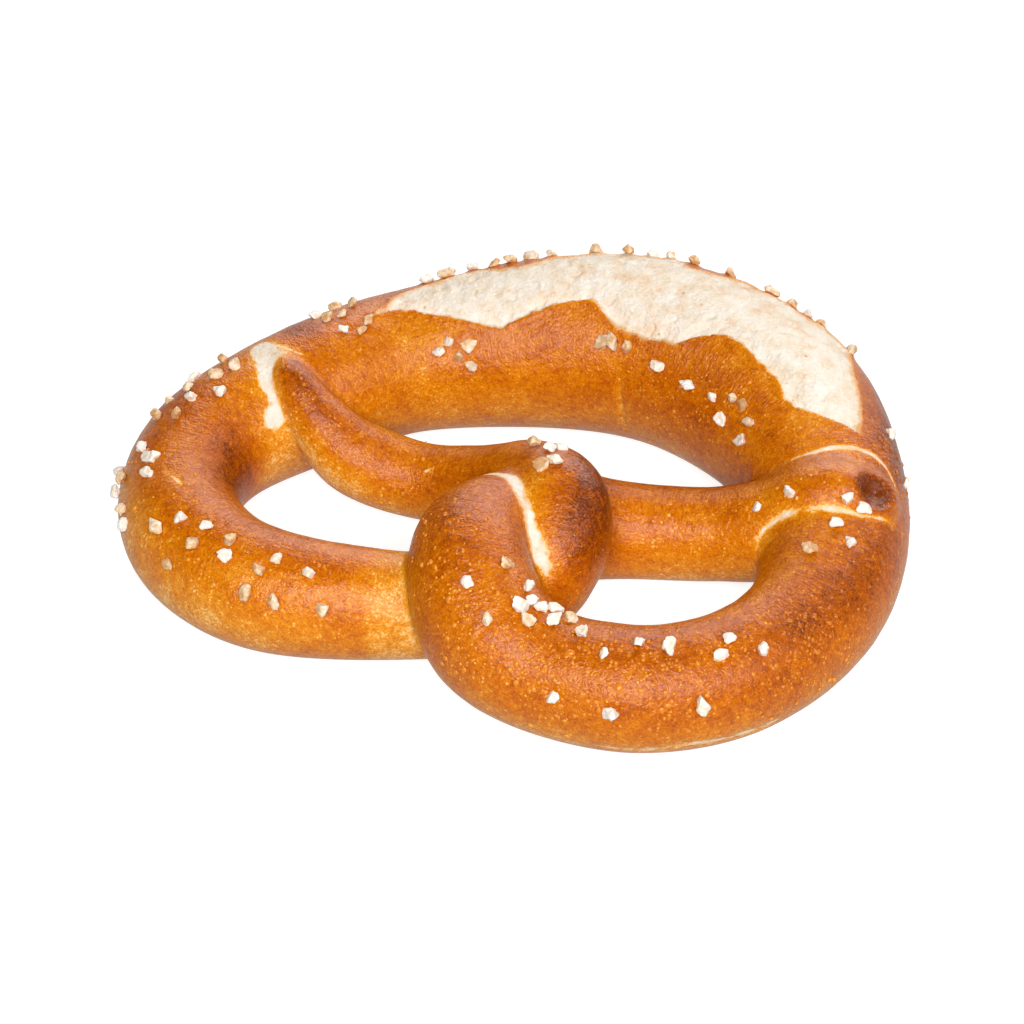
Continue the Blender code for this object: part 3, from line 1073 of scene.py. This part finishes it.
@dataclass
class SaltGrains:
    """Coarse salt crystals, pressed a little into the crust."""

    rope: Rope
    patches: tuple[SaltPatch, ...] = SALT
    shapes: int = 14
    cuts: int = 8
    cut_depths: tuple[float, float] = (0.26, 0.52)
    seed: int = 7
    scatter_seed: int = 21
    apart: float = 2.7  # least distance between two grains
    degree: float = 0.22  # rough length of one degree round the rope
    rock: float = 0.35  # how far a grain tips, in radians

    def laid(self) -> list[tuple[SaltPatch, Place]]:
        """Every grain's patch and its place on the rope, the same at each call."""
        rng = np.random.default_rng(self.scatter_seed)
        return [
            (patch, place) for patch in self.patches for place in patch.places(rng, self.apart, self.degree)
        ]

    def dents(self) -> tuple[tuple[Place, float], ...]:
        """Every grain's place on the rope and how far it presses the dough in."""
        return tuple((place, patch.dent) for patch, place in self.laid())

    def crystal(self, rng: np.random.Generator, number: int) -> Piece:
        """One crystal about a unit wide: a ball cut by random planes, with its edges worn.

        Args:
            rng: Source of the planes.
            number: Which crystal this is, for its name.

        Returns:
            The crystal as a mesh object.
        """
        deselect()
        bpy.ops.mesh.primitive_ico_sphere_add(subdivisions=2, radius=0.66, location=(0.0, 0.0, 0.0))
        made = bpy.context.object
        made.name = f"crystal_{number}"
        bpy.ops.object.mode_set(mode="EDIT")
        for _ in range(self.cuts):
            facing = rng.normal(size=3)
            facing /= np.linalg.norm(facing)
            bpy.ops.mesh.select_all(action="SELECT")
            bpy.ops.mesh.bisect(
                plane_co=tuple(facing * rng.uniform(*self.cut_depths)),
                plane_no=tuple(facing),
                use_fill=True,
                clear_outer=True,
                threshold=CUT_THRESHOLD,
            )
        bpy.ops.mesh.select_all(action="SELECT")
        stretch = (rng.uniform(0.95, 1.35), rng.uniform(0.68, 0.95), rng.uniform(0.62, 0.85))
        bpy.ops.transform.resize(value=stretch)
        bpy.ops.mesh.remove_doubles(threshold=0.01)
        bpy.ops.object.mode_set(mode="OBJECT")
        apply_modifier(made, "REMESH", mode="VOXEL", voxel_size=0.08, adaptivity=0.0)
        points = read_points(made.data) * MM
        away = points / np.maximum(np.linalg.norm(points, axis=1, keepdims=True), 1e-6)
        rough = ripples(points, ((0.42, 0.12, 3.0 + number), (0.20, 0.06, 6.0 + number)))
        write_points(made.data, (points + away * rough[:, None]) / MM)
        apply_modifier(made, "DECIMATE", ratio=0.55)
        return made

    def build(self) -> Piece:
        """Model a few crystals, copy them to their places and join the copies.

        Returns:
            The salt as one mesh object.
        """
        rng = np.random.default_rng(self.seed)
        crystals = [self.crystal(rng, number) for number in range(self.shapes)]
        laid = self.laid()
        grains = []
        for patch, place in laid:
            grains.append(self.lay_grain(rng, crystals[rng.integers(self.shapes)], patch, place))
        for zone in self.patches:
            log.info("salt on %s: %d grains", zone.name, sum(patch is zone for patch, _ in laid))
        for crystal in crystals:
            bpy.data.objects.remove(crystal, do_unlink=True)
        salt = join_copies(grains, "salt")
        bpy.ops.object.shade_smooth_by_angle(angle=math.radians(28.0))
        return salt

    def lay_grain(
        self, rng: np.random.Generator, crystal: Piece, patch: SaltPatch, place: Place
    ) -> Piece:
        """Copy a crystal to its place on the crust, turned at random.

        Args:
            rng: Source of the turn, the size and the tint.
            crystal: The crystal to copy.
            patch: The patch that the grain belongs to.
            place: Where it lies on the rope.

        Returns:
            The grain, with its place in its mesh.
        """
        size = patch.size * rng.uniform(0.94, 1.22)
        seat, outward, direction = self.rope.surface(place, size * (0.30 - patch.sunk))
        side = np.cross(outward, direction)
        turn = rng.uniform(0.0, 2.0 * math.pi)
        first = direction * math.cos(turn) + side * math.sin(turn)
        axes = np.stack([first, np.cross(outward, first), outward], axis=1)
        turned = Matrix(axes.tolist()).to_4x4() @ Matrix.Rotation(rng.normal() * self.rock, 4, "X")
        stand = Matrix.Translation(Vector(seat * MM)) @ turned @ Matrix.Scale(size * MM, 4)
        tan = rng.uniform(0.55, 1.0) if rng.uniform() < patch.browned else rng.uniform(0.0, 0.3)
        return copy_to(crystal, "grain", stand, "tan", tan)


# ------------------------------------------------------------------------
# Blisters


@dataclass(frozen=True)
class BlisterField:
    """A stretch of crust that bubbled: its middle, how far it reaches and how many blisters it holds."""

    place: Place
    reach_along: float
    reach_around: float
    count: int
    radius: float


BLISTER_FIELDS = (
    BlisterField((436, -42), 46, 62, 640, 0.30),
    BlisterField((400, -35), 34, 66, 260, 0.26),
    BlisterField((462, -60), 22, 50, 190, 0.31),
    BlisterField((366, -45), 16, 50, 150, 0.28),
    BlisterField((478, -30), 16, 60, 140, 0.25),
    BlisterField((140, -45), 24, 60, 110, 0.24),
    BlisterField((180, -20), 26, 60, 90, 0.22),
    BlisterField((330, 75), 34, 50, 120, 0.26),
    BlisterField((94, 10), 16, 80, 130, 0.26),
    BlisterField((560, 30), 18, 60, 90, 0.27),
    BlisterField((12, 10), 14, 80, 110, 0.27),
    BlisterField((34, 30), 22, 70, 70, 0.25),
)
Blister = tuple[float, float, float]  # along, around and radius
LARGE_BLISTERS: tuple[Blister, ...] = (
    (443, -47, 1.15), (440, -48, 0.85), (452, -22, 0.9), (436, -62, 0.8), (437, -66, 0.7),
)


@dataclass
class Blisters:
    """Small glassy blisters that the lye raised on the crust."""

    dough: Dough
    fields: tuple[BlisterField, ...] = BLISTER_FIELDS
    height: float = 0.6  # of a dome, as a share of its radius
    lowest: float = 2.0  # height above the tray under which there is none
    spread: float = 0.45  # standard deviation of the places, as a share of the field's reach
    variety: float = 0.42  # spread of the sizes
    largest: float = 2.2  # as a multiple of the field's radius
    seed: int = 19

    def build(self) -> Piece:
        """Model one dome, copy it all over the bubbled stretches and join the copies.

        Returns:
            The blisters as one mesh object.
        """
        rng = np.random.default_rng(self.seed)
        deselect()
        bpy.ops.mesh.primitive_uv_sphere_add(segments=8, ring_count=5, radius=1.0, location=(0.0, 0.0, 0.0))
        dome = bpy.context.object
        scattered = list(LARGE_BLISTERS)
        for area in self.fields:
            for _ in range(area.count):
                along = area.place[0] + rng.normal() * self.spread * area.reach_along
                around = area.place[1] + rng.normal() * self.spread * area.reach_around
                larger = min(float(rng.lognormal(0.0, self.variety)), self.largest)
                scattered.append((along, around, area.radius * larger))
        domes = [self.lay_dome(dome, blister, bake_and_shade, rng) for blister, bake_and_shade in self.on_open_skin(scattered)]
        bpy.data.objects.remove(dome, do_unlink=True)
        blisters = join_copies(domes, "crust_blisters")
        bpy.ops.object.shade_smooth()
        return blisters

    def on_open_skin(self, scattered: list[Blister]) -> list[tuple[Blister, float]]:
        """Keep the blisters that lie on bare crust: not in the split, under another strand or at the foot.

        Args:
            scattered: Place along and around the rope, and radius, of each blister.

        Returns:
            Those that stay, each with the crust's browning there.
        """
        rope = self.dough.rope
        seats = np.array([rope.surface((along, around))[0] for along, around, _ in scattered])
        marks = self.dough.marks(seats)
        own = np.abs(marks.along - np.array([blister[0] for blister in scattered])) < 3.0
        bare = own & (marks.lead > 0.8) & (marks.split < -0.8) & (marks.seam < -0.3)
        bare &= seats[:, 2] > self.lowest
        bakes = self.dough.browning(seats, marks)
        return [(blister, float(bake_and_shade)) for blister, bake_and_shade, stays in zip(scattered, bakes, bare) if stays]

    def lay_dome(
        self, dome: Piece, blister: Blister, bake_and_shade: float, rng: np.random.Generator
    ) -> Piece:
        """Copy the dome to a place on the crust, more than half sunk.

        Args:
            dome: The dome to copy.
            blister: Where the blister is and how large.
            bake_and_shade: The crust's browning there.
            rng: Source of its stretch.

        Returns:
            The blister, with its place in its mesh.
        """
        along, around, radius = blister
        seat, outward, direction = self.dough.rope.surface((along, around), -0.18 * radius)
        stretch = rng.uniform(0.85, 1.2)
        side = np.cross(outward, direction)
        axes = np.stack([direction * stretch, side / stretch, outward * self.height], axis=1)
        stand = Matrix.Translation(Vector(seat * MM)) @ Matrix((axes * radius * MM).tolist()).to_4x4()
        return copy_to(dome, "blister", stand, "bake_and_shade", bake_and_shade)


# ------------------------------------------------------------------------
# Finishes

Stops = tuple[tuple[float, str], ...]  # position and colour of each stop of a colour ramp


def start_material(name: str) -> tuple[Material, Tree, Socket]:
    """Start a material.

    Args:
        name: Its name.

    Returns:
        The material, its empty node tree, and the socket with places on the piece in millimetres.
    """
    material = bpy.data.materials.new(name)
    material.use_nodes = True
    tree = material.node_tree
    tree.nodes.clear()
    where = add_node(tree, "TexCoord").outputs["Object"]
    mm = add_node(tree, "VectorMath", {0: where, "Scale": 1.0 / MM}, operation="SCALE").outputs["Vector"]
    return material, tree, mm


def end_material(tree: Tree, inputs: dict) -> None:
    """Give a material its Principled shader and its output."""
    shader = add_node(tree, "BsdfPrincipled", inputs)
    add_node(tree, "OutputMaterial", {"Surface": shader.outputs["BSDF"]})


def pattern(tree: Tree, where: Socket, size: float, detail: float = 2.0, roughness: float = 0.5) -> Socket:
    """Cloudy noise about zero, of a size in millimetres."""
    inputs = {"Vector": where, "Scale": 1.0 / size, "Detail": detail, "Roughness": roughness}
    cloud = add_node(tree, "TexNoise", inputs).outputs["Fac"]
    return add_node(tree, "Math", {0: cloud, 1: -0.5}, operation="ADD").outputs[0]


def dots(tree: Tree, where: Socket, spacing: float, share: float, radius: float) -> Socket:
    """Round dots with soft edges, 1 at their middles.

    Args:
        tree: The material's node tree.
        where: Places in millimetres.
        spacing: Distance between the cells that may hold a dot.
        share: Share of the cells without a dot.
        radius: Largest radius, as a share of the spacing.

    Returns:
        The strength of the dots.
    """
    cells = add_node(tree, "TexVoronoi", {"Vector": where, "Scale": 1.0 / spacing}).outputs
    lot = add_node(tree, "SeparateColor", {"Color": cells["Color"]}).outputs["Red"]
    size = add_node(tree, "MapRange", {"Value": lot, 1: share, 2: 1.0, 3: 0.0, 4: radius}).outputs["Result"]
    edge = add_node(tree, "Math", {0: size, 1: cells["Distance"]}, operation="SUBTRACT").outputs[0]
    soft = add_node(tree, "MapRange", {"Value": edge, 1: 0.0, 2: 0.16}, interpolation_type="SMOOTHSTEP")
    return soft.outputs["Result"]


def total(tree: Tree, start: object, *parts: tuple[Socket, object]) -> Socket:
    """Add patterns to a start value, each times its strength, which is a number or a socket."""
    for source, amount in parts:
        inputs = {0: source, 1: amount, 2: start}
        start = add_node(tree, "Math", inputs, operation="MULTIPLY_ADD").outputs[0]
    return start


# Inputs 1 to 4 of a MapRange node are the range that it reads and the range that it gives.


@dataclass(frozen=True)
class LyeCrust:
    """Lye-dipped crust over cream crumb.

    The lye bath browns the skin to a saturated copper with a soft shine, darker on the tops and golden where
    a strand was covered; the browning it reads also holds painted shade on the left lobe's inner side. Where
    the skin tore, the crumb shows matt and cream, with tan spots and painted shade in its pores. The sizes of
    the patterns are in millimetres.
    """

    name: str = "lye_crust_and_crumb"
    crust: Stops = (
        (0.0, "ECB970"), (0.12, "E0982F"), (0.24, "D48310"), (0.36, "CC7404"), (0.48, "C16700"),
        (0.60, "B55900"), (0.72, "A54D00"), (0.84, "954500"), (0.94, "843A02"), (1.0, "6A2C06"),
    )
    # crumb colours: the darker stops serve painted shade in the pores as well as the crumb's own uneven tone
    crumb: Stops = (
        (0.0, "C3966A"), (0.18, "DCBE9A"), (0.38, "E9D3B8"), (0.6, "EDDFCB"), (0.82, "F1E6D8"),
        (1.0, "F6EDE2"),
    )
    toasted: str = "E0A765"  # crumb that the oven caught, along the edges and in spots
    roughness: float = 0.21
    crumb_roughness: float = 0.9
    ior: float = 1.47
    specular: float = 0.32
    mottle: float = 9.0
    blotch: float = 3.0
    fleck: float = 1.1
    grain: float = 0.42
    bubble: float = 1.9
    pinhead: float = 0.95
    wrinkle: float = 0.55
    wrinkle_length: float = 2.6
    border: float = 1.5
    cloud: float = 4.2
    stain: float = 5.0
    pore: float = 0.8
    spot: float = 2.4
    fibre: float = 0.35

    def build(self) -> Material:
        """Build the material."""
        material, tree, mm = start_material(self.name)
        crust, crust_height = self.skin(tree, mm)
        crumb, crumb_height = self.torn_dough(tree, mm)
        pale = add_node(tree, "Attribute", attribute_name="pale").outputs["Fac"]
        border = total(tree, pale, (pattern(tree, mm, self.border, 3.0, 0.65), 1.0))
        torn = add_node(tree, "MapRange", {"Value": border, 1: -0.20, 2: 0.20}).outputs["Result"]
        colour = add_node(tree, "Mix", {0: torn, 6: crust, 7: crumb}, data_type="RGBA").outputs[2]
        heights = {0: torn, 2: crust_height, 3: crumb_height}
        height = add_node(tree, "Mix", heights, data_type="FLOAT").outputs[0]
        dullness = {"Value": torn, 3: self.roughness, 4: self.crumb_roughness}
        roughness = add_node(tree, "MapRange", dullness).outputs["Result"]
        relief = add_node(tree, "Bump", {"Height": height, "Strength": 1.0, "Distance": MM}).outputs["Normal"]
        finish = {"Base Color": colour, "Roughness": roughness, "Normal": relief}
        end_material(tree, finish | {"IOR": self.ior, "Specular IOR Level": self.specular})
        return material

    def skin(self, tree: Tree, mm: Socket) -> tuple[Socket, Socket]:
        """Browned skin: cloudy and flecked, with golden pinheads, small bubbles and wrinkles across the rope.

        Args:
            tree: The material's node tree.
            mm: Places in millimetres.

        Returns:
            The skin's colour, and its relief in millimetres.
        """
        bake_and_shade, pale, bubbly, wrinkled = (
            add_node(tree, "Attribute", attribute_name=name).outputs["Fac"]
            for name in ("bake_and_shade", "pale", "bubbly", "wrinkled")
        )
        rope = add_node(tree, "Attribute", attribute_name="rope").outputs["Vector"]
        squeeze = self.wrinkle / self.wrinkle_length
        across = {"Vector": rope, "Scale": (1.0, squeeze, squeeze)}
        lines = add_node(tree, "Mapping", across).outputs["Vector"]
        dense = add_node(tree, "MapRange", {"Value": bubbly, 3: 0.25, 4: 1.0}).outputs["Result"]

        mottle = pattern(tree, mm, self.mottle)
        blotch, fleck, grain = (
            pattern(tree, mm, size, roughness=0.6) for size in (self.blotch, self.fleck, self.grain)
        )
        bubble = total(tree, 0.0, (dots(tree, mm, self.bubble, 0.55, 0.28), bubbly))
        pinhead = total(tree, 0.0, (dots(tree, mm, self.pinhead, 0.20, 0.42), dense))
        wrinkle = total(tree, 0.0, (pattern(tree, lines, self.wrinkle, roughness=0.6), wrinkled))

        rim = {"Value": pale, 1: -0.5, 2: 0.0, 3: 0.04, 4: -0.20}
        rim_tone = add_node(tree, "MapRange", rim).outputs["Result"]
        tone = total(
            tree, bake_and_shade, (mottle, 0.36), (blotch, 0.40), (fleck, 0.58), (grain, 0.85), (wrinkle, 0.50),
            (bubble, -0.40), (pinhead, -0.36),
        )
        tone = add_node(tree, "Math", {0: tone, 1: rim_tone}, operation="ADD", use_clamp=True).outputs[0]
        colour = add_node(tree, "ValToRGB", {"Fac": tone}, stops=self.crust).outputs["Color"]
        height = total(
            tree, 0.0, (grain, 0.14), (fleck, 0.24), (blotch, 0.25), (wrinkle, 0.34), (bubble, 0.18),
            (pinhead, 0.10),
        )
        return colour, height

    def torn_dough(self, tree: Tree, mm: Socket) -> tuple[Socket, Socket]:
        """Torn dough: matt, cream and spongy, toasted along its edges and in spots, with painted shade in its
        pores.

        Args:
            tree: The material's node tree.
            mm: Places in millimetres.

        Returns:
            The crumb's colour, and its relief in millimetres.
        """
        pale, bake_and_shade = (
            add_node(tree, "Attribute", attribute_name=name).outputs["Fac"] for name in ("pale", "bake_and_shade")
        )
        pores = pattern(tree, mm, self.pore, 4.0, 0.7)
        clouds = pattern(tree, mm, self.cloud, 3.0, 0.6)
        # painted shade: the crumb is darker where its pores sink, the same pattern that gives its relief
        tone = total(tree, 0.64, (pores, 1.0), (clouds, 1.5))
        crumb = add_node(tree, "ValToRGB", {"Fac": tone}, stops=self.crumb).outputs["Color"]
        stains = pattern(tree, mm, self.stain, 4.0, 0.7)
        spots = dots(tree, mm, self.spot, 0.66, 0.26)
        edge, baked = (
            add_node(tree, "MapRange", inputs).outputs["Result"]
            for inputs in (
                {"Value": pale, 1: 0.0, 2: 1.1, 3: 0.92, 4: -0.08},
                {"Value": bake_and_shade, 1: 0.2, 2: 0.6, 3: -0.5, 4: 0.4},
            )
        )
        toast = total(tree, edge, (stains, 3.4), (pores, 1.0), (baked, 1.0), (spots, 0.9))
        strength = {"Value": toast, 1: 0.12, 2: 1.1, 3: 0.0, 4: 0.9}
        toast = add_node(tree, "MapRange", strength).outputs["Result"]
        colours = {0: toast, 6: crumb, 7: linear(self.toasted)}
        colour = add_node(tree, "Mix", colours, data_type="RGBA").outputs[2]
        fibres = pattern(tree, mm, self.fibre)
        return colour, total(tree, 0.0, (pores, 0.55), (fibres, 0.12), (spots, -0.10))


@dataclass(frozen=True)
class PretzelSalt:
    """Coarse rock salt: off-white, slightly glassy crystals, some turned tan by the lye and the oven."""

    name: str = "coarse_rock_salt"
    colours: Stops = ((0.0, "EDE5DB"), (0.4, "E8D8C3"), (0.75, "DDBB90"), (1.0, "CA9760"))
    roughness: float = 0.42
    ior: float = 1.54
    stain: float = 1.3
    grit: float = 0.4

    def build(self) -> Material:
        """Build the material."""
        material, tree, mm = start_material(self.name)
        tan = add_node(tree, "Attribute", attribute_name="tan").outputs["Fac"]
        tone = total(tree, tan, (pattern(tree, mm, self.stain), 1.6))
        colour = add_node(tree, "ValToRGB", {"Fac": tone}, stops=self.colours).outputs["Color"]
        bumps = {"Height": pattern(tree, mm, self.grit), "Strength": 1.0, "Distance": 0.25 * MM}
        relief = add_node(tree, "Bump", bumps).outputs["Normal"]
        finish = {"Base Color": colour, "Roughness": self.roughness, "Normal": relief, "IOR": self.ior}
        end_material(tree, finish)
        return material


@dataclass(frozen=True)
class BlisterGlaze:
    """Thin golden skin over the blisters, a little lighter than the crust around them."""

    name: str = "blister_skin"
    colours: Stops = (
        (0.1, "E8A440"), (0.35, "DA8A1E"), (0.6, "CA740C"), (0.85, "AC5A06"), (1.0, "8C4204"),
    )
    cloud: float = 2.0
    vary: float = 0.5
    roughness: float = 0.24
    ior: float = 1.47

    def build(self) -> Material:
        """Build the material."""
        material, tree, mm = start_material(self.name)
        bake_and_shade = add_node(tree, "Attribute", attribute_name="bake_and_shade").outputs["Fac"]
        tone = total(tree, bake_and_shade, (pattern(tree, mm, self.cloud), self.vary))
        colour = add_node(tree, "ValToRGB", {"Fac": tone}, stops=self.colours).outputs["Color"]
        end_material(tree, {"Base Color": colour, "Roughness": self.roughness, "IOR": self.ior})
        return material


# ------------------------------------------------------------------------
# Studio


@dataclass(frozen=True)
class Softbox:
    """A rectangular soft light that faces the pretzel."""

    name: str
    azimuth: float
    elevation: float
    size: tuple[float, float]  # width and height, in metres
    power: float  # in watts


SOFTBOXES = (
    Softbox("key_light", 15.0, 43.0, (0.7, 0.5), 12.6),
    Softbox("side_light", 70.0, 38.0, (0.4, 0.4), 2.6),
    Softbox("back_light", 180.0, 26.0, (1.3, 0.7), 10.4),
)


@dataclass
class Studio:
    """Pale floor, soft lights in front and to the right, a wide light behind, and the camera."""

    target: tuple[float, float, float] = (0.9, -11.3, 12.0)
    azimuth: float = 17.5
    elevation: float = 40.0
    distance: float = 550.0
    lens: float = 96.68
    sensor: float = 36.0
    softboxes: tuple[Softbox, ...] = SOFTBOXES
    softbox_distance: float = 1000.0

    def build(self) -> None:
        """Set up the floor, the lights, the world and the camera."""
        self.floor()
        for softbox in self.softboxes:
            self.hang(softbox)
        self.world()
        self.camera()
        bpy.context.scene.view_settings.view_transform = "Standard"

    def direction(self, azimuth: float, elevation: float) -> Vector:
        """Unit vector towards an azimuth, measured from the front towards +X, and an elevation."""
        a, e = math.radians(azimuth), math.radians(elevation)
        return Vector((math.sin(a) * math.cos(e), -math.cos(a) * math.cos(e), math.sin(e)))

    def camera(self) -> None:
        """Place the camera and make it the scene's."""
        target = Vector(self.target) * MM
        away = self.direction(self.azimuth, self.elevation)
        bpy.ops.object.camera_add(location=target + away * self.distance * MM)
        camera = bpy.context.object
        camera.name = "camera"
        camera.rotation_euler = away.to_track_quat("Z", "Y").to_euler()
        camera.data.lens = self.lens
        camera.data.sensor_width = self.sensor
        camera.data.clip_start = 0.01
        bpy.context.scene.camera = camera

    def hang(self, softbox: Softbox) -> None:
        """Hang a soft light so that it faces the pretzel."""
        target = Vector(self.target) * MM
        away = self.direction(softbox.azimuth, softbox.elevation)
        bpy.ops.object.light_add(type="AREA", location=target + away * self.softbox_distance * MM)
        light = bpy.context.object
        light.name = softbox.name
        light.rotation_euler = away.to_track_quat("Z", "Y").to_euler()
        light.data.shape = "RECTANGLE"
        light.data.size, light.data.size_y = softbox.size
        light.data.energy = softbox.power

    def floor(self) -> None:
        """Lay the pale floor at the tray's level."""
        deselect()
        bpy.ops.mesh.primitive_plane_add(size=6.0, location=(0.0, 0.0, 0.0))
        floor = bpy.context.object
        floor.name = "floor"
        material = bpy.data.materials.new("matt_white_floor")
        material.use_nodes = True
        shader = material.node_tree.nodes["Principled BSDF"]
        shader.inputs["Base Color"].default_value = linear("9C9C9B")
        shader.inputs["Roughness"].default_value = 0.9
        shader.inputs["Emission Color"].default_value = (1.0, 1.0, 1.0, 1.0)
        seen = add_node(material.node_tree, "LightPath").outputs["Is Camera Ray"]
        glow = add_node(material.node_tree, "MapRange", {"Value": seen, 3: 0.28, 4: 0.80}).outputs["Result"]
        material.node_tree.links.new(glow, shader.inputs["Emission Strength"])
        floor.data.materials.append(material)

    def world(self) -> None:
        """A dim surround for the reflections, and a pale backdrop where the floor ends."""
        world = bpy.data.worlds.new("studio")
        bpy.context.scene.world = world
        world.use_nodes = True
        tree = world.node_tree
        tree.nodes.clear()
        path = add_node(tree, "LightPath").outputs["Is Camera Ray"]
        strength = add_node(tree, "MapRange", {"Value": path, 3: 0.05, 4: 0.95}).outputs["Result"]
        backdrop = add_node(tree, "Background", {"Color": linear("FAFAFA"), "Strength": strength})
        add_node(tree, "OutputWorld", {"Surface": backdrop.outputs["Background"]})


def main() -> None:
    """Build the pretzel and its studio."""
    rope = Rope()
    Studio().build()
    salt = SaltGrains(rope)
    dough = Dough(rope, salt.dents())
    finish_piece(dough.build(), LyeCrust().build(), "pretzel")
    finish_piece(salt.build(), PretzelSalt().build())
    finish_piece(Blisters(dough).build(), BlisterGlaze().build())


if __name__ == "__main__":
    main()
